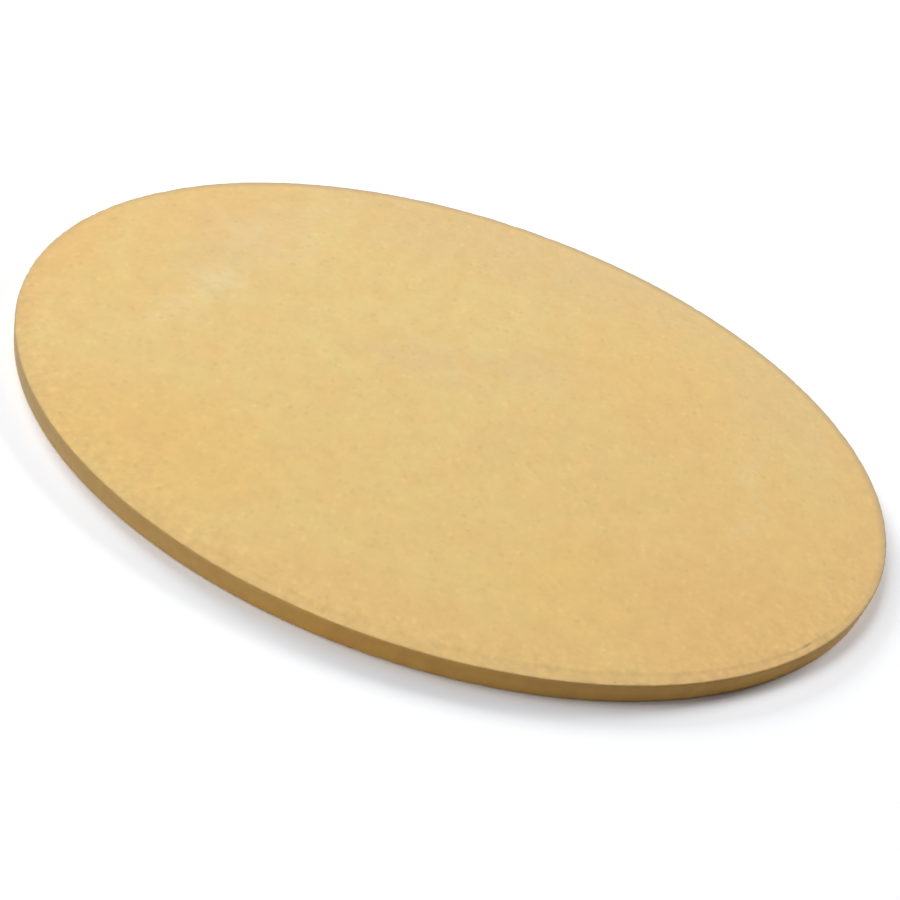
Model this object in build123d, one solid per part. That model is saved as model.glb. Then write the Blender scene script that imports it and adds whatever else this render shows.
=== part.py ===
from build123d import *
import os

# Pizza stone: one round slab of refractory clay, pressed in a die and fired bare.
# Millimetres, +Z up, origin at the centre of the underside.

# Slab, widest at its upper edge, with a wall that draws in towards the underside
stone_diameter = 406.4
stone_thickness = 9.5
wall_draft = 1.3

# Wiped band round the baking face, which falls a little towards the edge
wiped_band_width = 8.0
wiped_band_fall = 0.35

# Rounded arrises
upper_arris_radius = 1.3
lower_arris_radius = 1.2


def round_corner(section, corner, radius):
    """Rounds the one corner of the section that lies at the given point."""
    nearest = section.vertices().sort_by_distance(corner)[0]
    return fillet(nearest, radius)


def half_section():
    """The slab cut through its middle, from the axis out to the edge, with X out and Y up."""
    edge = stone_diameter / 2
    lower_corner = (edge - wall_draft, 0)
    upper_corner = (edge, stone_thickness - wiped_band_fall)
    outline = Polyline(
        (0, 0),
        lower_corner,
        upper_corner,
        (edge - wiped_band_width, stone_thickness),
        (0, stone_thickness),
        close=True,
    )
    section = make_face(outline)
    section = round_corner(section, upper_corner, upper_arris_radius)
    return round_corner(section, lower_corner, lower_arris_radius)


def baking_stone():
    """The whole stone, turned from its half section."""
    return revolve(Plane.XZ * half_section(), Axis.Z)


os.makedirs("parts", exist_ok=True)
export_step(baking_stone(), "parts/baking_stone.step")
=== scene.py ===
import math
import random

import bpy
import numpy as np
from bpy.props import FloatProperty, FloatVectorProperty, IntProperty, PointerProperty
from mathutils import Matrix, Vector, noise


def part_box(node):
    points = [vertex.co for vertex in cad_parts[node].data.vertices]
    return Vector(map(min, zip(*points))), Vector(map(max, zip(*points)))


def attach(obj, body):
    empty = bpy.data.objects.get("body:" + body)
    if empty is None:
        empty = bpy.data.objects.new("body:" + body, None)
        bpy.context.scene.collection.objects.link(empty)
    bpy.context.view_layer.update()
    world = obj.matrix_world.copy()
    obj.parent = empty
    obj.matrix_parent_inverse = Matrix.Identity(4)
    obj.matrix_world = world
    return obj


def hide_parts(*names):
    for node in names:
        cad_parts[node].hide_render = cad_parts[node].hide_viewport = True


bl_info = {
    "name": "Pizza Stone",
    "version": (1, 0, 0),
    "blender": (4, 5, 0),
    "location": "3D View > Sidebar > Pizza Stone",
    "description": "Builds a round pizza stone of bare fired clay and a small studio round it",
    "category": "Add Mesh",
}

# The frame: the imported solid, in metres, at rest on its underside
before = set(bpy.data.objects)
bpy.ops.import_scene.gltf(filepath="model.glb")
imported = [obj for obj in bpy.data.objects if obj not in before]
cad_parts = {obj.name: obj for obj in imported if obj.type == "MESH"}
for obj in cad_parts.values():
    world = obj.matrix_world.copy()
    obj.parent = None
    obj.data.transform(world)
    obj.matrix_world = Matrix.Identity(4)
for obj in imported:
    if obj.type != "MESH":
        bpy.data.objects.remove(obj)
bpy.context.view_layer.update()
STONE_NODE = "baking_stone"
STONE_LOW, STONE_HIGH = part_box(STONE_NODE)
EDGE_RADIUS = (STONE_HIGH.x - STONE_LOW.x) / 2
THICKNESS = STONE_HIGH.z - STONE_LOW.z

MM = 0.001
RNG_SEED = 16

# Index numbers of the colour sockets on Blender's Mix node
MIX_FACTOR, MIX_A, MIX_B, MIX_RESULT = 0, 6, 7, 2

# The wiped band: angle round the stone in degrees, then width, fall and height of the crease at its
# inner edge in mm, and how much grime and painted shade darken the clay there; the high values at
# the back and the right-hand end paint a darker, greyer line of shade along the far rim. It is
# widest at the near side and narrowest at the right-hand end.
WIPED_BAND = (
    (0, 4.2, 0.14, 0.02, 5.5),
    (70, 6.5, 0.16, 0.02, 7.5),
    (130, 6.5, 0.18, 0.02, 7.0),
    (160, 4.5, 0.18, 0.02, 4.0),
    (200, 6.0, 0.22, 0.02, 1.2),
    (225, 8.6, 0.26, 0.03, 0.3),
    (280, 8.8, 0.32, 0.05, 0.5),
    (294, 8.6, 0.4, 0.08, 1.0),
    (306, 7.2, 0.4, 0.08, 1.0),
    (324, 4.8, 0.38, 0.1, 1.0),
    (342, 3.4, 0.22, 0.05, 3.5),
    (360, 4.2, 0.14, 0.02, 5.5),
)

# The band's table is averaged over one part in this of the circle, to each side
BAND_SMOOTHING = 60

# Share of the band that the crease at its inner edge takes up, and the mesh rings across the band
CREASE_SHARE = 0.3
BAND_RING_SHARES = (0.86, 0.72, 0.58, 0.44, CREASE_SHARE, 0.2, 0.1)

# Mesh rings round the two arrises
LOWER_ARRIS_RINGS, UPPER_ARRIS_RINGS = 7, 9

# Rings further in have fewer points, but no fewer than this, and their points keep at least this
# share of the rings' own spacing. The rings' spacing grows inwards by this factor.
FEWEST_SEGMENTS, LEAST_CELL_SHARE, CELL_GROWTH = 96, 0.7, 1.22

# How far a normal may lean on a face that counts as flat
FLAT_LEAN = 0.01

# Height in mm of a tall crease, and how much grime and painted shade darken the band, the arris, a
# tall crease and the gouge. On the crease this is painted shade along its step; in the gouge it is
# dirt and painted shade in the hollow.
TALL_CREASE = 0.1
BAND_GRIME_AND_SHADE, ARRIS_GRIME_AND_SHADE, CREASE_PAINTED_SHADE, GOUGE_DIRT_AND_SHADE = 0.3, 0.4, 0.35, 2.0

# A short gouge on the band's crease: angle and half length in degrees, depth in mm
GOUGE_ANGLE, GOUGE_HALF_LENGTH, GOUGE_DEPTH = 326.5, 1.5, 0.35

# How far the faces' hollows take to die away towards the edge, how wide the gritty rim is, and how
# far the grit takes to come in, all in mm. No grit lies on slopes that face down more than this.
HOLLOW_FADE, RIM_WIDTH, RIM_FADE = 15, 14, 6
LOWEST_GRIT_SLOPE = -0.5

# Chips: the smallest as a share of a usual one and how much the largest adds to that, then the
# ranges of their half length and half width
CHIP_LEAST, CHIP_SPREAD = 0.5, 1.1
CHIP_LENGTHS, CHIP_WIDTHS = (0.7, 1.6), (0.5, 0.9)

# Each layer of noise over the shape is half as large as the one before, and half as strong
NOISE_FALLOFF, NOISE_STEP = 1.0, 2.0

# How far the slope has turned, as the upward part of its normal, where the wall's tone begins, and
# over how much it comes in. The wall's darker, browner colour, which starts already on the roll of
# the upper arris, is painted shade of the side.
WALL_TONE_START, WALL_TONE_REACH = 0.975, 0.35

# Broad tints from the kiln and from handling, and a band of painted shade over the far part of the face,
# each as soft ovals on the plan of the stone: middle x, y and half widths in mm, turn in degrees, strength
ROSE_OVALS = (
    (-142, -116, 62, 50, 0, 0.42),
    (150, -118, 74, 76, 0, 0.95),
    (196, -10, 26, 130, 0, 0.7),
    (-199, 10, 20, 130, 0, 0.75),
    (110, 20, 80, 150, 0, 0.3),
    (96, 18, 22, 30, 0, 0.5),
    (-152, 112, 36, 62, -36, 0.5),
    (0, -186, 230, 26, 0, 0.5),
)
STRAW_OVALS = (
    (0, -62, 34, 58, 0, 0.9),
    (-6, -140, 52, 52, 0, 0.6),
    (-62, 8, 16, 44, 0, 0.7),
    (-128, 36, 24, 50, 0, 0.7),
    (-112, 120, 30, 46, -20, 0.8),
    (20, 60, 90, 60, 0, 0.5),
)
# Grey: cooler handled patches, and in the first oval a darker, greyer band of painted shade along the far
# part of the face
GREY_AND_SHADE_OVALS = (
    (0, 186, 190, 60, 0, 0.6),
    (-126, 90, 30, 84, -10, 0.6),
    (-16, 26, 40, 18, 30, 0.55),
    (30, 52, 44, 20, 35, 0.5),
    (150, 100, 36, 60, 30, 0.4),
    (24, -34, 12, 24, -30, 0.4),
)
DEEP_OVALS = (
    (-108, -120, 64, 62, 0, 1.0),
    (90, -126, 80, 66, 0, 1.0),
    (150, -60, 60, 90, 0, 0.8),
    (82, 70, 44, 66, 0, 0.7),
    (0, -110, 230, 100, 0, 0.5),
    (-175, 20, 36, 60, 0, 0.4),
)
BLOOM_OVALS = (
    (-127, 36, 11, 15, 0, 0.5),
    (-133, 0, 9, 26, 0, 0.35),
    (-114, 92, 30, 40, -15, 0.2),
    (137, -34, 6, 30, 0, 0.22),
    (134, 16, 6, 34, 0, 0.2),
)

# An oval fades out between these shares of its half widths
OVAL_FADE = {"From Min": 1.35, "From Max": 0.3}

# The ovals' plan is drawn out of true by noise that spans this many mm, so that their edges wander
PLAN_DRIFT = 60
DRIFT_NOISE = {"Scale": 1 / (28 * MM), "Detail": 4.0, "Roughness": 0.65}

# The plan of the small marks is multiplied by this from front to back, which draws them about half
# as long again that way. At the photograph's low angle they then look as round as its marks do.
MARK_DEPTH_SCALE = 0.65

# Flushes of warmer clay
FLUSH_NOISE = {"Scale": 1 / (13 * MM), "Detail": 1.5, "Roughness": 0.5}
FLUSH_RANGE = {"From Min": 0.42, "From Max": 0.72, "To Max": 0.45}

# Mottle of two sizes, each with its share, and the brightness that it gives
MOTTLE_NOISE = {"Scale": 1 / (9 * MM), "Detail": 3.0, "Roughness": 0.65}
CLUMP_NOISE = {"Scale": 1 / (3 * MM), "Detail": 2.0, "Roughness": 0.6}
MOTTLE_SHARE, CLUMP_SHARE = 1.4, 0.6
MOTTLE_RANGE = {"From Min": 0.65, "From Max": 1.35, "To Min": 0.95, "To Max": 1.05}

# Grains and the coarser lumps of grog: which of them are pale or dark, how strongly, and how a lump
# fades from its middle outwards. The wall shows only part of them, as the die smears it over.
PALE_GRAINS = {"From Min": 0.86, "From Max": 1.0, "To Max": 0.05}
DARK_GRAINS = {"From Min": 0.88, "From Max": 1.0, "To Max": 0.04}
PALE_LUMPS = {"From Min": 0.7, "From Max": 1.0, "To Max": 0.26}
DARK_LUMPS = {"From Min": 0.7, "From Max": 1.0, "To Max": 0.27}
LUMP_FADE = {"From Min": 0.62, "From Max": 0.05}
SMEARED_WALL = {"To Min": 1.0, "To Max": 0.25}

# Fine sand, and the brightness that it gives
SAND_DETAIL = {"Detail": 2.0, "Roughness": 0.7}
SAND_RANGE = {"From Min": 0.25, "From Max": 0.75, "To Min": 0.993, "To Max": 1.007}

# The near side has a redder wall towards the right, painted light at the foot of its wall, and is
# rougher at the edge. It comes in between these places, from just behind the middle forwards.
NEAR_SIDE = {"From Min": 10 * MM, "From Max": -60 * MM}

# Crumbs along the edge: where they come in, and how much more of them the near side has
CRUMB_DETAIL = {"Detail": 1.5, "Roughness": 0.5}
CRUMB_RIM = {"From Min": EDGE_RADIUS - 30 * MM, "From Max": EDGE_RADIUS - 8 * MM, "To Min": 0.2}
NEAR_CRUMBS = {"To Min": 0.3, "To Max": 1.15}
CRUMB_TONE = 0.24

# Open pores: how large the cells' pores are, as a share of their spacing, and how dark they get
PORE_SIZES = {"From Min": 0.6, "From Max": 1.0, "To Max": 0.07}
PORE_SHADE = {"From Max": 0.05, "To Max": 0.7}

# The near wall: where it turns redder and more saturated from left to right, its redder blotches and their
# strength
RIGHTWARD_REACH = {"From Min": -0.9 * EDGE_RADIUS, "From Max": -0.1 * EDGE_RADIUS}
BLOTCH_NOISE = {"Scale": 1 / (14 * MM), "Detail": 2.0, "Roughness": 0.5}
BLOTCH_RANGE = {"From Min": 0.42, "From Max": 0.6}
BLOTCH_STRENGTH = 0.5

# Painted light at the foot of the near wall, offsetting the shade that the shadowed floor leaves there: how
# much paler the colour is made at the bottom, and how high that reaches
PAINTED_FOOT_LIGHT = {"From Max": 7 * MM, "To Min": 0.22, "To Max": 0.0}

# How much colour full grime and painted shade take
GRIME_AND_SHADE_STRENGTH = 0.3

# The relief: how a grain rises to its middle, then the heights of the fine sand and of the pores
# as shares of a grain's
GRAIN_DOME = {"From Max": 0.8, "To Min": 1.0, "To Max": 0.0}
SAND_HEIGHT, PORE_HEIGHT = 0.35, -4.0

# Clay's index of refraction, and the roughness of the floor
CLAY_IOR = 1.5
FLOOR_ROUGHNESS = 0.9

# The floor lies this far below the underside, in mm, so that the two faces don't coincide
FLOOR_GAP = 0.02

# Soft boxes: name, azimuth and height in degrees seen from the stone, then distance, width and
# depth in metres, and watts
SOFT_BOXES = (
    ("right_back", 52, 21, 3.2, 1.1, 1.1, 94.0),
    ("left_back", 132, 24, 3.2, 1.25, 1.25, 70.0),
    ("high_back", 120, 58, 3.0, 1.4, 1.4, 15.5),
    ("left_high", 200, 62, 1.5, 0.7, 0.7, 7.9),
    ("left_front", 222, 26, 2.0, 0.8, 0.8, 10.8),
)


def linear(hex_colour):
    """Turns an sRGB hex colour into the linear colour that Blender works in."""
    digits = hex_colour.lstrip("#")
    channels = [int(digits[start : start + 2], 16) / 255 for start in (0, 2, 4)]
    return tuple(c / 12.92 if c <= 0.04045 else ((c + 0.055) / 1.055) ** 2.4 for c in channels)


def size_property(label, about, default, low=0.0):
    """A length in metres that the panel shows in the scene's units."""
    return FloatProperty(
        name=label, description=about, default=default, min=low, subtype="DISTANCE", unit="LENGTH"
    )


def angle_property(label, about, degrees):
    """An angle, written in degrees and stored in radians."""
    return FloatProperty(
        name=label, description=about, default=math.radians(degrees), subtype="ANGLE", unit="ROTATION"
    )


def colour_property(label, about, hex_colour):
    """A colour, written as sRGB hex and stored linear."""
    return FloatVectorProperty(
        name=label, description=about, default=linear(hex_colour), size=3, min=0.0, max=1.0, subtype="COLOR"
    )


class StoneShape(bpy.types.PropertyGroup):
    """Sizes of the worn slab: its arrises, the strays of its band and outline, wear and mesh."""

    upper_arris: size_property("Upper arris", "Radius of the edge round the baking face", 0.9 * MM)
    lower_arris: size_property("Lower arris", "Radius of the edge round the underside", 1.2 * MM)
    wall_lean: angle_property("Wall lean", "Lean of the wall out of upright", 8.1)
    wall_rings: IntProperty(name="Wall rings", description="Mesh rings on the wall", default=8, min=1)
    face_waviness: size_property("Face waviness", "Depth of the long hollows in the faces", 0.12 * MM)
    wave_length: size_property("Wave length", "Size of the long hollows in the faces", 75 * MM)
    arris_wander: size_property("Arris wander", "How much the radius of the upper arris strays", 0.35 * MM)
    arris_wander_length: size_property("Arris wander length", "Spacing of the arris's strays", 5 * MM)
    band_wander: size_property("Band wander", "How much the width of the wiped band strays", 0.7 * MM)
    band_wander_length: size_property("Band wander length", "Spacing of the band's strays", 16 * MM)
    edge_wander: size_property("Edge wander", "How far the outline strays in from a circle", 0.2 * MM)
    wander_length: size_property("Wander length", "Spacing of the outline's strays", 28 * MM)
    grit_depth: size_property("Grit depth", "How far the grit stands out of the edge", 0.09 * MM)
    grit_size: size_property("Grit size", "Spacing of the grit on the edge", 1.3 * MM)
    chip_count: IntProperty(name="Chips", description="Small chips along each arris", default=60, min=0)
    chip_length: size_property("Chip length", "Half length of a usual chip", 1.6 * MM)
    chip_depth: size_property("Chip depth", "Depth of a usual chip", 0.13 * MM)
    finest_cell: size_property("Finest cell", "Spacing of the mesh at the edge", 0.6 * MM)
    coarsest_cell: size_property("Coarsest cell", "Spacing of the mesh in the middle", 6 * MM)
    edge_segments: IntProperty(
        name="Edge segments",
        description="Mesh points round the edge",
        default=1536,
        min=FEWEST_SEGMENTS,
    )


class StoneFinish(bpy.types.PropertyGroup):
    """Colours and grain sizes of the fired clay."""

    body: colour_property("Body", "Fired clay of the faces", "#CDB171")
    rose: colour_property("Rose", "Warmer clay where the fire was stronger", "#CFA766")
    straw: colour_property("Straw", "Paler, yellower clay", "#CCB474")
    # Cooler, darker clay of handled patches, also used as painted shade over the far part of the face
    grey_and_shade: colour_property("Grey", "Cooler, handled clay", "#C7A975")
    deep: colour_property("Deep", "Fuller yellow clay", "#D0AE67")
    bloom: colour_property("Bloom", "Pale dusty marks", "#D5BE8E")
    # Painted shade: the wall colour is darker and browner than the faces to stand for the shade on the side
    wall: colour_property("Wall", "Clay of the edge wall", "#A48B5D")
    # Redder, more saturated wall colour towards the right of the near side
    near_right_wall: colour_property("Toasted wall", "Browner clay of the near wall, to the right", "#BD9144")
    russet: colour_property("Russet", "Redder blotches of the near wall", "#B58645")
    pale_grain: colour_property("Pale grain", "Light grains of grog", "#E2C682")
    dark_grain: colour_property("Dark grain", "Dark grains of grog", "#A98F58")
    # Grime and painted shade: grey-brown soil on the handled edge, and painted shade along the far rim, in
    # the crease and in the gouge
    grime_and_shade: colour_property("Grime", "Grey-brown soil on the handled edge", "#9C8768")
    pit: colour_property("Pit", "Shade in the open pores", "#7C5E36")
    grain_size: size_property("Grain size", "Spacing of the grog grains", 1.4 * MM)
    lump_size: size_property("Lump size", "Spacing of the coarser grains of grog", 3.2 * MM)
    # Real sand is often finer than this, and is drawn this coarse so that it shows
    fine_size: size_property("Fine size", "Spacing of the fine sand", 0.45 * MM)
    pit_spacing: size_property("Pit spacing", "Spacing of the open pores", 9 * MM)
    crumb_size: size_property("Crumb size", "Spacing of the crumbs along the edge", 3.4 * MM)
    crumb_relief: size_property("Crumb relief", "Height of the crumbs", 0.14 * MM)
    grain_relief: size_property("Grain relief", "Height of the grains", 0.009 * MM)
    roughness: FloatProperty(
        name="Roughness", description="Roughness of the dry face", default=0.92, min=0.0, max=1.0
    )


class StudioSetting(bpy.types.PropertyGroup):
    """Camera, floor and soft light."""

    lens: FloatProperty(name="Lens", description="Focal length in millimetres", default=88.0, min=10.0)
    camera_distance: size_property("Camera distance", "From the middle of the underside", 1.003)
    camera_height: angle_property("Camera height", "Angle above the floor", 28.57)
    camera_roll: angle_property("Camera roll", "Turn about the line of sight", -18.66)
    aim_right: size_property("Aim right", "Point aimed at, to the right of the middle", 1.9 * MM, low=-1.0)
    aim_back: size_property("Aim back", "Point aimed at, beyond the middle", -33.9 * MM, low=-1.0)
    camera_lift: size_property("Camera lift", "How far the camera is raised once aimed", 0.25 * MM)
    floor_size: size_property("Floor size", "Side of the floor", 12.0)
    glow_start: size_property("Glow start", "Where the floor starts to glow, out from its middle", 0.3)
    glow_full: size_property("Glow full", "Where the floor glows fully", 1.3)
    floor_colour: colour_property("Floor colour", "Matt white floor", "#F7F7F7")
    sky_colour: colour_property("Sky colour", "Light from all round", "#DFE9FF")
    sky_strength: FloatProperty(
        name="Sky strength", description="Strength of the light from all round", default=0.11, min=0.0
    )


def add_node(tree, kind, inputs, **settings):
    """Adds one shader node. Each input is given a plain value or another node's output."""
    made = tree.nodes.new("ShaderNode" + kind)
    for name, value in settings.items():
        setattr(made, name, value)
    for name, value in inputs.items():
        if isinstance(value, bpy.types.NodeSocket):
            tree.links.new(value, made.inputs[name])
        else:
            made.inputs[name].default_value = value
    return made


def new_material(name):
    """An empty node material and its node tree."""
    material = bpy.data.materials.new(name)
    material.use_nodes = True
    material.node_tree.nodes.clear()
    return material, material.node_tree


def half_section(shape, angles):
    """The stone's outline at each angle, from the middle of the underside to the middle of the top.

    Returns arrays of radius, height, the outward and the upward part of the normal, and grime and
    painted shade, one row for each ring of the mesh and one column for each angle, with the row
    numbers of the two arrises' middles.
    """
    upper = shape.upper_arris + shape.arris_wander * round_noise(angles, shape.arris_wander_length)
    lower, lean = shape.lower_arris, shape.wall_lean
    degrees = np.degrees(angles)
    width, fall, crease, grime_and_shade = band_round(degrees)
    crease_share = crease / (TALL_CREASE * MM)
    width = width + shape.band_wander * round_noise(angles, shape.band_wander_length)
    width = np.maximum(width, upper + shape.finest_cell)
    in_gouge = np.clip(1 - np.abs(degrees - GOUGE_ANGLE) / GOUGE_HALF_LENGTH, 0, 1)
    gouge = in_gouge * GOUGE_DEPTH * MM

    # Centres of the arcs of the two arrises, with the wall as the line that touches both
    upper_out, upper_up = EDGE_RADIUS - upper, THICKNESS - fall - upper
    lower_out = upper_out - (upper_up - lower) * math.tan(lean) + (upper - lower) / math.cos(lean)
    rows = []

    def ring(radius, height, normal_out, normal_up, darkening=0):
        return np.stack([value + 0 * angles for value in (radius, height, normal_out, normal_up, darkening)])

    def arris_rings(centre_out, centre_up, size, first, last, count, darkening=0):
        turns = [(math.cos(turn), math.sin(turn)) for turn in np.linspace(first, last, count)]
        return [ring(centre_out + size * out, centre_up + size * up, out, up, darkening) for out, up in turns]

    rows += [ring(radius, 0, 0, -1) for radius in reversed(inward_steps(lower_out.min(), shape))]
    lower_rings = arris_rings(lower_out, lower, lower, -math.pi / 2, -lean, LOWER_ARRIS_RINGS)
    # The upper arris takes grime and painted shade too, most along the far rim
    upper_rings = arris_rings(
        upper_out, upper_up, upper, -lean, math.pi / 2, UPPER_ARRIS_RINGS, grime_and_shade * ARRIS_GRIME_AND_SHADE
    )
    lower_middle = len(rows) + len(lower_rings) // 2
    rows += lower_rings
    wall_shares = np.linspace(0, 1, shape.wall_rings + 2)[1:-1]
    rows += [lower_rings[-1] + (upper_rings[0] - lower_rings[-1]) * share for share in wall_shares]
    upper_middle = len(rows) + len(upper_rings) // 2
    rows += upper_rings

    inner_radius = EDGE_RADIUS - width
    for share in BAND_RING_SHARES:
        step = min(share / CREASE_SHARE, 1.0)
        line = step * (share <= CREASE_SHARE)
        drop = crease * step + (fall - crease) * share + gouge * line
        # Grime and painted shade across the band: more towards its outer edge, painted shade in the crease,
        # dirt and painted shade in the gouge
        darkening = grime_and_shade * BAND_GRIME_AND_SHADE * share + (crease_share * CREASE_PAINTED_SHADE + in_gouge * GOUGE_DIRT_AND_SHADE) * line
        rows.append(ring(inner_radius + (width - upper) * share, THICKNESS - drop, 0, 1, darkening))
    widest = inner_radius.max()
    for radius in inward_steps(widest, shape):
        rows.append(ring(inner_radius * (radius / widest), THICKNESS, 0, 1))
    return np.array(rows).transpose(1, 0, 2), lower_middle, upper_middle


def band_round(degrees):
    """Width, fall, crease height, and grime and painted shade of the wiped band at each angle."""
    band_angles, *columns = zip(*WIPED_BAND)
    reach = len(degrees) // BAND_SMOOTHING
    columns = (smooth_round(np.interp(degrees, band_angles, column), reach) for column in columns)
    width, fall, crease, grime_and_shade = columns
    return width * MM, fall * MM, crease * MM, grime_and_shade


def smooth_round(values, reach):
    """Averages values over their neighbours, round the circle."""
    window = np.hanning(2 * reach + 3)[1:-1]
    wrapped = np.concatenate([values[-reach:], values, values[:reach]])
    return np.convolve(wrapped, window / window.sum(), mode="valid")


def inward_steps(start, shape):
    """Radii from start inwards, whose spacing grows from the finest cell to the coarsest."""
    radii, step, radius = [], shape.finest_cell, start
    while radius > shape.coarsest_cell:
        radii.append(radius)
        step = min(step * CELL_GROWTH, shape.coarsest_cell)
        radius -= step
    return radii


def round_noise(angles, size):
    """Layered noise between about -1 and 1 at each angle along the edge."""
    circle = np.stack([np.cos(angles), np.sin(angles), 0 * angles], axis=1)
    return fractal(circle * EDGE_RADIUS, size, octaves=3)


def fractal(points, size, octaves):
    """Layered noise between about -1 and 1 at each point, whose largest features are one size apart."""
    return np.array(
        [noise.fractal(Vector(point) / size, NOISE_FALLOFF, NOISE_STEP, octaves) for point in points]
    )


def noise_share(points, size, octaves):
    """The same noise as a share between 0 and 1."""
    return np.clip(0.5 + 0.5 * fractal(points, size, octaves), 0, 1)


def smooth_step(share):
    """Eases a share between 0 and 1 in and out."""
    return share * share * (3 - 2 * share)


def chip_depths(shape, angles, along, seed, spread):
    """Depth of the chips along one arris, with along the distance from its middle over the section."""
    draw = random.Random(seed)
    depth = np.zeros_like(along)
    for _ in range(shape.chip_count):
        size = CHIP_LEAST + CHIP_SPREAD * draw.random() ** 3
        angle = draw.uniform(0, 2 * math.pi)
        half_length = shape.chip_length * size * draw.uniform(*CHIP_LENGTHS)
        half_width = shape.chip_length * size * draw.uniform(*CHIP_WIDTHS)
        centre = draw.uniform(-spread, spread)
        sideways = np.angle(np.exp(1j * (angles - angle))) * EDGE_RADIUS / half_length
        near = np.abs(sideways) < 1
        bowl = 1 - sideways[near] ** 2 - ((along[:, near] - centre) / half_width) ** 2
        bowl = shape.chip_depth * size * np.sqrt(np.clip(bowl, 0, None))
        depth[:, near] = np.maximum(depth[:, near], bowl)
    return depth


def ring_counts(shape, radius, out):
    """How many points each ring keeps: fewer where flat rings lie far apart, and never more than
    twice or less than half as many as the ring before."""
    spacing = np.abs(np.diff(radius, append=0)) * (np.abs(out) < FLAT_LEAN)
    counts = []
    for ring_radius, gap in zip(radius, spacing):
        count = shape.edge_segments
        while count > FEWEST_SEGMENTS and 2 * math.pi * ring_radius / count < LEAST_CELL_SHARE * gap:
            count //= 2
        if counts:
            count = max(min(count, 2 * counts[-1]), counts[-1] // 2)
        counts.append(count)
    return counts


def ring_faces(starts, counts):
    """Faces between neighbouring rings, where a ring has as many points as the next, or half or
    twice as many."""
    faces = []
    for ring in range(len(starts) - 1):
        first, first_count = starts[ring], counts[ring]
        second, second_count = starts[ring + 1], counts[ring + 1]
        for step in range(min(first_count, second_count)):
            after = step + 1
            if first_count == second_count:
                after %= first_count
                faces.append((first + step, first + after, second + after, second + step))
            elif first_count < second_count:
                low, high = first + step, first + after % first_count
                left, middle, right = (second + (2 * step + k) % second_count for k in range(3))
                faces += [(low, middle, left), (low, high, middle), (high, right, middle)]
            else:
                low, high = second + step, second + after % second_count
                left, middle, right = (first + (2 * step + k) % first_count for k in range(3))
                faces += [(low, left, middle), (low, middle, high), (high, middle, right)]
    return faces


def end_faces(starts, counts, centre_low, centre_high):
    """Fans of faces from the innermost rings to the middles of the underside and the top."""
    first, last = starts[0], starts[-1]
    low_fan = [(centre_low, first + (step + 1) % counts[0], first + step) for step in range(counts[0])]
    high_fan = [(centre_high, last + step, last + (step + 1) % counts[-1]) for step in range(counts[-1])]
    return low_fan + high_fan


def wear_down(shape, points, normals, chips):
    """Pushes the points in by the chips, by hollows in the faces and by the grit of the rim, and
    lets the outline stray inwards."""
    distance = np.hypot(points[:, 0], points[:, 1])
    edge_fade = np.clip((EDGE_RADIUS - distance) / (HOLLOW_FADE * MM), 0, 1)
    rim = np.clip((distance - (EDGE_RADIUS - RIM_WIDTH * MM)) / (RIM_FADE * MM), 0, 1)
    hollows = shape.face_waviness * noise_share(points, shape.wave_length, 2) * edge_fade
    grit = shape.grit_depth * noise_share(points, shape.grit_size, 2) * rim
    depth = chips + np.where(np.abs(normals[:, 2]) > 1 - FLAT_LEAN, hollows, 0)
    depth = depth + grit * (normals[:, 2] > LOWEST_GRIT_SLOPE)
    points = points - normals * depth[:, None]
    inward = shape.edge_wander * noise_share(points * (1, 1, 0), shape.wander_length, 3) * rim
    points[:, :2] *= (1 - inward / np.maximum(distance, EDGE_RADIUS / 2))[:, None]
    return points


def build_stone_mesh(shape):
    """The worn slab: rings of points on its section, pushed in by hollows, grit and chips."""
    angles = np.arange(shape.edge_segments) / shape.edge_segments * 2 * math.pi
    section, lower_middle, upper_middle = half_section(shape, angles)
    radius, height, out = section[:3]
    path = np.concatenate([0 * radius[:1], np.hypot(np.diff(radius, axis=0), np.diff(height, axis=0))])
    path = np.cumsum(path, axis=0)
    arrises = ((upper_middle, shape.upper_arris, RNG_SEED), (lower_middle, shape.lower_arris, RNG_SEED + 1))
    chips = np.maximum(
        *(chip_depths(shape, angles, path - path[middle], seed, size / 2) for middle, size, seed in arrises)
    )

    counts = ring_counts(shape, radius[:, 0], out[:, 0])
    starts = [sum(counts[:ring]) for ring in range(len(counts))]
    fields = np.stack([*section, chips, angles + 0 * chips])
    kept = [fields[:, ring, :: shape.edge_segments // count] for ring, count in enumerate(counts)]
    radius, height, out, up, grime_and_shade, chips, turn = np.concatenate(kept, axis=1)
    points = np.stack([radius * np.cos(turn), radius * np.sin(turn), height], axis=1)
    normals = np.stack([out * np.cos(turn), out * np.sin(turn), up], axis=1)
    # The wall's tone follows the slope's turn, so the side and the roll of the arris take the painted shade
    # of the wall colour
    wall_share = smooth_step(np.clip((WALL_TONE_START - np.abs(up)) / WALL_TONE_REACH, 0, 1))
    points = wear_down(shape, points, normals, chips)

    ends = np.array([[0, 0, STONE_LOW.z], [0, 0, STONE_HIGH.z - shape.face_waviness / 2]])
    faces = ring_faces(starts, counts) + end_faces(starts, counts, len(points), len(points) + 1)
    mesh = bpy.data.meshes.new("pizza_stone_slab")
    mesh.from_pydata(np.concatenate([points, ends]).tolist(), [], faces)
    mesh.shade_smooth()
    for name, values in (("wall_share", wall_share), ("grime_and_shade", grime_and_shade)):
        layer = mesh.attributes.new(name, "FLOAT", "POINT")
        values = np.concatenate([values, np.zeros(len(ends))])
        layer.data.foreach_set("value", values.astype(np.float32))
    mesh.validate()
    return mesh


def layered(tree, colour, layers):
    """Lays tints over a colour in turn, each as far as its mask lets it."""
    for mask, tint in layers:
        sockets = {MIX_FACTOR: mask, MIX_A: colour, MIX_B: tint}
        colour = add_node(tree, "Mix", sockets, data_type="RGBA").outputs[MIX_RESULT]
    return colour


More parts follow.
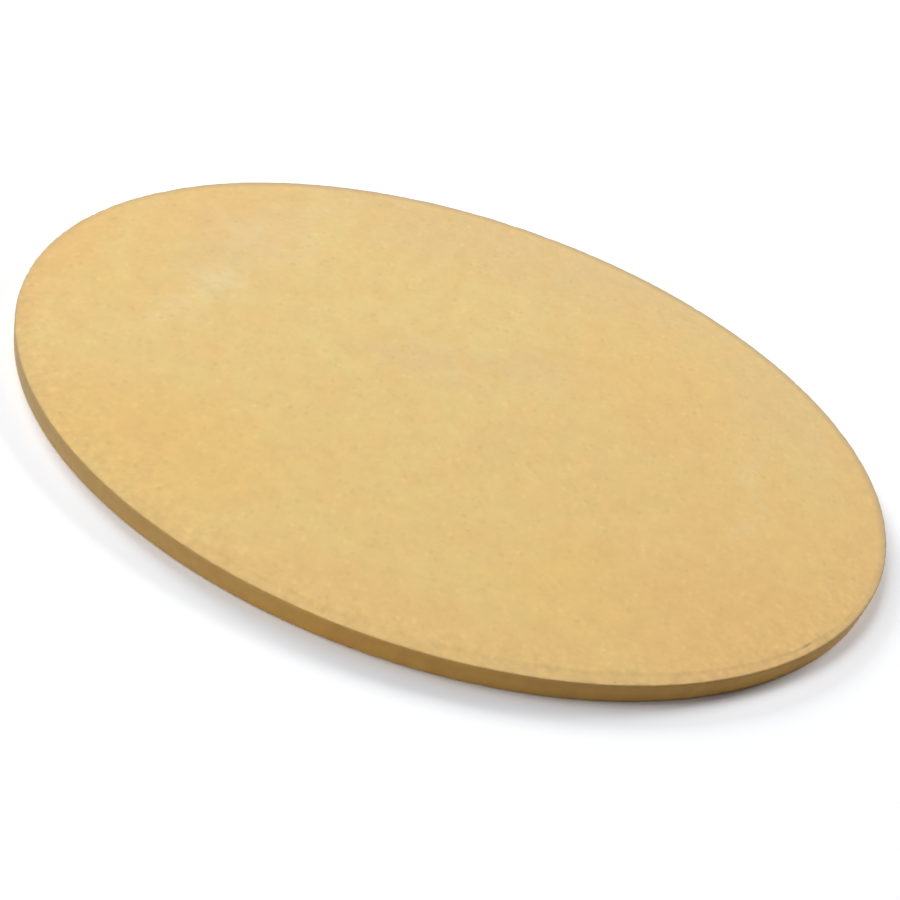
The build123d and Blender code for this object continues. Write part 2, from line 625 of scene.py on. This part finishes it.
def opaque(colour):
    """A colour with full cover, as a colour socket wants it."""
    return (*colour, 1.0)


def oval_mask(tree, place, ovals):
    """The strongest of several soft ovals at each point."""
    total = 0.0
    for middle_x, middle_y, half_x, half_y, turn, strength in ovals:
        moved = add_node(
            tree,
            "Mapping",
            {
                "Vector": place,
                "Location": (middle_x * MM, middle_y * MM, 0),
                "Rotation": (0, 0, math.radians(turn)),
                "Scale": (half_x * MM, half_y * MM, 1),
            },
            vector_type="TEXTURE",
        )
        reach = add_node(tree, "VectorMath", {0: moved.outputs[0]}, operation="LENGTH")
        soft = add_node(
            tree,
            "MapRange",
            {"Value": reach.outputs["Value"], **OVAL_FADE, "To Max": strength},
            interpolation_type="SMOOTHSTEP",
        )
        total = add_node(tree, "Math", {0: total, 1: soft.outputs[0]}, operation="MAXIMUM").outputs[0]
    return total


def face_layers(tree, finish, place, marks):
    """The broad tints of the faces, among them painted shade over the far part of the face, with flushes of
    warmer clay over them.
    """
    drift = add_node(tree, "TexNoise", {"Vector": place, **DRIFT_NOISE})
    sway = add_node(tree, "VectorMath", {0: drift.outputs["Color"], 1: (0.5, 0.5, 0.5)}, operation="SUBTRACT")
    plan = add_node(
        tree,
        "VectorMath",
        {0: sway.outputs[0], 1: (PLAN_DRIFT * MM, PLAN_DRIFT * MM, 0), 2: place},
        operation="MULTIPLY_ADD",
    ).outputs[0]
    flush = add_node(tree, "TexNoise", {"Vector": marks, **FLUSH_NOISE})
    flush = add_node(tree, "MapRange", {"Value": flush.outputs[0], **FLUSH_RANGE}).outputs[0]
    tints = (
        (STRAW_OVALS, finish.straw),
        (GREY_AND_SHADE_OVALS, finish.grey_and_shade),
        (DEEP_OVALS, finish.deep),
        (ROSE_OVALS, finish.rose),
        (BLOOM_OVALS, finish.bloom),
    )
    layers = [(oval_mask(tree, plan, ovals), opaque(tint)) for ovals, tint in tints]
    return [*layers, (flush, opaque(finish.rose))]


def mottle_tone(tree, marks):
    """Brightness of the mottle that uneven filling of the die leaves."""
    broad = add_node(tree, "TexNoise", {"Vector": marks, **MOTTLE_NOISE})
    clump = add_node(tree, "TexNoise", {"Vector": marks, **CLUMP_NOISE})
    clump = add_node(tree, "Math", {0: clump.outputs[0], 1: CLUMP_SHARE}, operation="MULTIPLY")
    mottle = add_node(
        tree,
        "Math",
        {0: broad.outputs[0], 1: MOTTLE_SHARE, 2: clump.outputs[0]},
        operation="MULTIPLY_ADD",
    )
    return add_node(tree, "MapRange", {"Value": mottle.outputs[0], **MOTTLE_RANGE}).outputs[0]


def grog_masks(tree, finish, marks, grains, open_face):
    """Where the pale and the dark grains and lumps of grog show, each with its own strength."""
    tone = add_node(tree, "SeparateColor", {0: grains.outputs["Color"]})
    lumps = add_node(
        tree, "TexVoronoi", {"Vector": marks, "Scale": 1 / finish.lump_size, "Randomness": 1.0}
    )
    lump_tone = add_node(tree, "SeparateColor", {0: lumps.outputs["Color"]})
    lump = add_node(
        tree,
        "MapRange",
        {"Value": lumps.outputs["Distance"], **LUMP_FADE},
        interpolation_type="SMOOTHSTEP",
    ).outputs[0]
    masks = []
    for channel, grain_range, lump_range in ((0, PALE_GRAINS, PALE_LUMPS), (1, DARK_GRAINS, DARK_LUMPS)):
        grain = add_node(tree, "MapRange", {"Value": tone.outputs[channel], **grain_range}).outputs[0]
        chosen = add_node(tree, "MapRange", {"Value": lump_tone.outputs[channel], **lump_range}).outputs[0]
        chosen = add_node(tree, "Math", {0: chosen, 1: lump}, operation="MULTIPLY").outputs[0]
        mask = add_node(tree, "Math", {0: grain, 1: chosen}, operation="MAXIMUM").outputs[0]
        masks.append(add_node(tree, "Math", {0: mask, 1: open_face}, operation="MULTIPLY").outputs[0])
    return masks


def crumb_height(tree, finish, place, marks, near_side, open_face):
    """Crumbs of clay along the edge, up and down from zero, where the press and the wiping left it
    rougher."""
    radial = add_node(tree, "VectorMath", {0: place}, operation="LENGTH").outputs["Value"]
    rim = add_node(tree, "MapRange", {"Value": radial, **CRUMB_RIM}).outputs[0]
    near_crumbs = add_node(tree, "MapRange", {"Value": near_side, **NEAR_CRUMBS}).outputs[0]
    crumb = add_node(
        tree, "TexNoise", {"Vector": marks, "Scale": 1 / finish.crumb_size, **CRUMB_DETAIL}
    ).outputs[0]
    crumb = add_node(tree, "Math", {0: crumb, 1: 0.5}, operation="SUBTRACT").outputs[0]
    for factor in (rim, near_crumbs, open_face):
        crumb = add_node(tree, "Math", {0: crumb, 1: factor}, operation="MULTIPLY").outputs[0]
    return crumb


def pore_mask(tree, finish, place):
    """Open pores: one in the middle of a cell of the pattern, and only in some of the cells."""
    pores = add_node(
        tree, "TexVoronoi", {"Vector": place, "Scale": 1 / finish.pit_spacing, "Randomness": 1.0}
    )
    tone = add_node(tree, "SeparateColor", {0: pores.outputs["Color"]})
    size = add_node(tree, "MapRange", {"Value": tone.outputs[2], **PORE_SIZES}).outputs[0]
    inside = add_node(tree, "Math", {0: size, 1: pores.outputs["Distance"]}, operation="SUBTRACT")
    return add_node(
        tree, "MapRange", {"Value": inside.outputs[0], **PORE_SHADE}, interpolation_type="SMOOTHSTEP"
    ).outputs[0]


def wall_tint(tree, finish, place, along, near_side):
    """Colour of the edge wall, darker than the faces as painted shade of the side: redder and more saturated
    to the right of the near side, with redder blotches there.
    """
    rightward = add_node(tree, "MapRange", {"Value": along.outputs["X"], **RIGHTWARD_REACH}).outputs[0]
    rightward = add_node(tree, "Math", {0: rightward, 1: near_side}, operation="MULTIPLY").outputs[0]
    blotch = add_node(tree, "TexNoise", {"Vector": place, **BLOTCH_NOISE}).outputs[0]
    blotch = add_node(
        tree, "MapRange", {"Value": blotch, **BLOTCH_RANGE}, interpolation_type="SMOOTHSTEP"
    ).outputs[0]
    for factor in (rightward, BLOTCH_STRENGTH):
        blotch = add_node(tree, "Math", {0: blotch, 1: factor}, operation="MULTIPLY").outputs[0]
    layers = ((rightward, opaque(finish.near_right_wall)), (blotch, opaque(finish.russet)))
    return layered(tree, opaque(finish.wall), layers)


def clay_relief(tree, finish, grains, sand, pit, crumb):
    """Bump of the clay: domed grains with fine sand over them, sunk pores and crumbs at the rim."""
    relief = add_node(tree, "MapRange", {"Value": grains.outputs["Distance"], **GRAIN_DOME}).outputs[0]
    crumb_rise = finish.crumb_relief / finish.grain_relief
    for part, rise in ((sand, SAND_HEIGHT), (pit, PORE_HEIGHT), (crumb, crumb_rise)):
        relief = add_node(
            tree, "Math", {0: part, 1: rise, 2: relief}, operation="MULTIPLY_ADD"
        ).outputs[0]
    bump = {"Strength": 1.0, "Distance": finish.grain_relief, "Height": relief}
    return add_node(tree, "Bump", bump).outputs[0]


def fired_clay(finish):
    """Fireclay with fine grog, pressed in a die and fired bare: dry, matt and sandy, with open pores,
    a warmer tone where the flame reached, and pale dust in places. Its colour also carries painted
    shade on the wall, along the far rim, in the crease and the gouge and on the far part of the face,
    and painted light at the foot of the near wall."""
    material, tree = new_material("bare_fired_fireclay")
    place = add_node(tree, "TexCoord", {}).outputs["Object"]
    marks = add_node(
        tree, "VectorMath", {0: place, 1: (1.0, MARK_DEPTH_SCALE, 1.0)}, operation="MULTIPLY"
    ).outputs[0]
    along = add_node(tree, "SeparateXYZ", {0: place})
    near_side = add_node(tree, "MapRange", {"Value": along.outputs["Y"], **NEAR_SIDE}).outputs[0]
    # Share of the wall colour, which lays painted shade on the side and on the roll of the arris
    wall = add_node(tree, "Attribute", {}, attribute_name="wall_share").outputs["Fac"]
    open_face = add_node(tree, "MapRange", {"Value": wall, **SMEARED_WALL}).outputs[0]

    grains = add_node(
        tree, "TexVoronoi", {"Vector": marks, "Scale": 1 / finish.grain_size, "Randomness": 1.0}
    )
    sand = add_node(
        tree, "TexNoise", {"Vector": place, "Scale": 1 / finish.fine_size, **SAND_DETAIL}
    ).outputs[0]
    pale, dark = grog_masks(tree, finish, marks, grains, open_face)
    crumb = crumb_height(tree, finish, place, marks, near_side, open_face)
    pit = pore_mask(tree, finish, place)
    # Grime and painted shade from the mesh: soil on the handled edge, and painted shade along the far rim, in
    # the crease and in the gouge
    grime_and_shade = add_node(tree, "Attribute", {}, attribute_name="grime_and_shade").outputs["Fac"]
    grime_and_shade = add_node(
        tree, "Math", {0: grime_and_shade, 1: GRIME_AND_SHADE_STRENGTH}, operation="MULTIPLY", use_clamp=True
    ).outputs[0]
    layers = (
        *face_layers(tree, finish, place, marks),
        (wall, wall_tint(tree, finish, place, along, near_side)),
        (pale, opaque(finish.pale_grain)),
        (dark, opaque(finish.dark_grain)),
        (grime_and_shade, opaque(finish.grime_and_shade)),
        (pit, opaque(finish.pit)),
    )
    colour = layered(tree, opaque(finish.body), layers)

    sand_tone = add_node(tree, "MapRange", {"Value": sand, **SAND_RANGE}).outputs[0]
    # Painted light: the bottom of the near wall is made paler, against the shade of the shadowed floor in
    # front of it
    foot_light = add_node(tree, "MapRange", {"Value": along.outputs["Z"], **PAINTED_FOOT_LIGHT}).outputs[0]
    foot_light = add_node(tree, "Math", {0: foot_light, 1: near_side, 2: 1.0}, operation="MULTIPLY_ADD").outputs[0]
    crumb_tone = add_node(
        tree, "Math", {0: crumb, 1: CRUMB_TONE, 2: 1.0}, operation="MULTIPLY_ADD"
    ).outputs[0]
    shade = mottle_tone(tree, marks)
    for factor in (sand_tone, foot_light, crumb_tone):
        shade = add_node(tree, "Math", {0: shade, 1: factor}, operation="MULTIPLY").outputs[0]
    colour = add_node(tree, "VectorMath", {0: colour, "Scale": shade}, operation="SCALE").outputs[0]
    bump = clay_relief(tree, finish, grains, sand, pit, crumb)
    look = {"Base Color": colour, "Roughness": finish.roughness, "IOR": CLAY_IOR, "Normal": bump}
    surface = add_node(tree, "BsdfPrincipled", look)
    add_node(tree, "OutputMaterial", {"Surface": surface.outputs[0]})
    return material


def white_floor(setting):
    """Matt white painted board: plain, so that only the soft shadow shows on it. Far from the stone,
    past the reach of the soft boxes, it glows, so that it stays white up to the horizon."""
    material, tree = new_material("matt_white_board")
    place = add_node(tree, "TexCoord", {}).outputs["Object"]
    away = add_node(tree, "VectorMath", {0: place}, operation="LENGTH").outputs["Value"]
    glow = add_node(
        tree,
        "MapRange",
        {"Value": away, "From Min": setting.glow_start, "From Max": setting.glow_full},
        interpolation_type="SMOOTHSTEP",
    ).outputs[0]
    look = {
        "Base Color": opaque(setting.floor_colour),
        "Roughness": FLOOR_ROUGHNESS,
        "Emission Color": opaque(setting.floor_colour),
        "Emission Strength": glow,
    }
    surface = add_node(tree, "BsdfPrincipled", look)
    add_node(tree, "OutputMaterial", {"Surface": surface.outputs[0]})
    return material


def soft_sky(setting):
    """An even sky that lights the scene softly and looks white behind it."""
    sky = bpy.data.worlds.new("studio_sky")
    sky.use_nodes = True
    tree = sky.node_tree
    tree.nodes.clear()
    seen = add_node(tree, "LightPath", {}).outputs["Is Camera Ray"]
    strength = add_node(tree, "MapRange", {"Value": seen, "To Min": setting.sky_strength, "To Max": 1.0})
    tint = layered(tree, opaque(setting.sky_colour), [(seen, opaque((1.0, 1.0, 1.0)))])
    glow = add_node(tree, "Background", {"Color": tint, "Strength": strength.outputs[0]})
    add_node(tree, "OutputWorld", {"Surface": glow.outputs[0]})
    return sky


class PIZZASTONE_OT_stone(bpy.types.Operator):
    """Builds the worn slab of fired clay in place of the plain solid"""

    bl_idname = "pizza_stone.build_stone"
    bl_label = "Build Stone"

    def execute(self, context):
        scene = context.scene
        mesh = build_stone_mesh(scene.stone_shape)
        mesh.materials.append(fired_clay(scene.stone_finish))
        stone = bpy.data.objects.new("baking_stone_worn", mesh)
        scene.collection.objects.link(stone)
        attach(stone, "root")
        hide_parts(STONE_NODE)
        return {"FINISHED"}


def add_soft_box(scene, name, azimuth, height, distance, width, depth, watts):
    """A rectangular lamp aimed at the stone, which the camera doesn't see."""
    turn, lift = math.radians(azimuth), math.radians(height)
    away = Vector((math.cos(turn) * math.cos(lift), math.sin(turn) * math.cos(lift), math.sin(lift)))
    lamp = bpy.data.lights.new(name + "_soft_box", "AREA")
    lamp.shape, lamp.size, lamp.size_y, lamp.energy = "RECTANGLE", width, depth, watts
    holder = bpy.data.objects.new(name + "_soft_box", lamp)
    holder.location = away * distance
    holder.rotation_mode = "QUATERNION"
    holder.rotation_quaternion = (-away).to_track_quat("-Z", "Y")
    holder.visible_camera = False
    scene.collection.objects.link(holder)


def add_floor(scene, setting):
    """The square board that the stone lies on, just clear of its underside."""
    half = setting.floor_size / 2
    mesh = bpy.data.meshes.new("studio_floor")
    corners = [(-half, -half, 0), (half, -half, 0), (half, half, 0), (-half, half, 0)]
    mesh.from_pydata(corners, [], [(0, 1, 2, 3)])
    mesh.materials.append(white_floor(setting))
    floor = bpy.data.objects.new("studio_floor", mesh)
    floor.location.z = -FLOOR_GAP * MM
    scene.collection.objects.link(floor)


def add_camera(scene, setting):
    """The camera at the photograph's angle, rolled as the photograph is."""
    lens = bpy.data.cameras.new("photo_camera")
    lens.lens = setting.lens
    camera = bpy.data.objects.new("photo_camera", lens)
    lift = setting.camera_height
    camera.location = Vector((0, -math.cos(lift), math.sin(lift))) * setting.camera_distance
    sight = Vector((setting.aim_right, setting.aim_back, 0)) - camera.location
    camera.location.z += setting.camera_lift
    level = sight.to_track_quat("-Z", "Y").to_matrix()
    camera.rotation_euler = (level @ Matrix.Rotation(-setting.camera_roll, 3, "Z")).to_euler()
    scene.collection.objects.link(camera)
    scene.camera = camera


class PIZZASTONE_OT_studio(bpy.types.Operator):
    """Sets up the floor, the soft light and the camera"""

    bl_idname = "pizza_stone.build_studio"
    bl_label = "Build Studio"

    def execute(self, context):
        scene, setting = context.scene, context.scene.studio_setting
        add_floor(scene, setting)
        scene.world = soft_sky(setting)
        for soft_box in SOFT_BOXES:
            add_soft_box(scene, *soft_box)
        add_camera(scene, setting)
        scene.view_settings.view_transform = "Standard"
        return {"FINISHED"}


class PIZZASTONE_PT_panel(bpy.types.Panel):
    """Sidebar panel with the builders and their settings"""

    bl_idname = "PIZZASTONE_PT_panel"
    bl_label = "Pizza Stone"
    bl_space_type = "VIEW_3D"
    bl_region_type = "UI"
    bl_category = "Pizza Stone"

    def draw(self, context):
        layout, scene = self.layout, context.scene
        groups = (
            (scene.stone_shape, None),
            (scene.stone_finish, PIZZASTONE_OT_stone),
            (scene.studio_setting, PIZZASTONE_OT_studio),
        )
        for group, builder in groups:
            for name in group.__annotations__:
                layout.prop(group, name)
            if builder:
                layout.operator(builder.bl_idname)


CLASSES = (
    StoneShape,
    StoneFinish,
    StudioSetting,
    PIZZASTONE_OT_stone,
    PIZZASTONE_OT_studio,
    PIZZASTONE_PT_panel,
)


def register():
    for cls in CLASSES:
        bpy.utils.register_class(cls)
    bpy.types.Scene.stone_shape = PointerProperty(type=StoneShape)
    bpy.types.Scene.stone_finish = PointerProperty(type=StoneFinish)
    bpy.types.Scene.studio_setting = PointerProperty(type=StudioSetting)


def unregister():
    del bpy.types.Scene.studio_setting
    del bpy.types.Scene.stone_finish
    del bpy.types.Scene.stone_shape
    for cls in reversed(CLASSES):
        bpy.utils.unregister_class(cls)


def main():
    register()
    bpy.ops.pizza_stone.build_stone()
    bpy.ops.pizza_stone.build_studio()


if __name__ == "__main__":
    main()
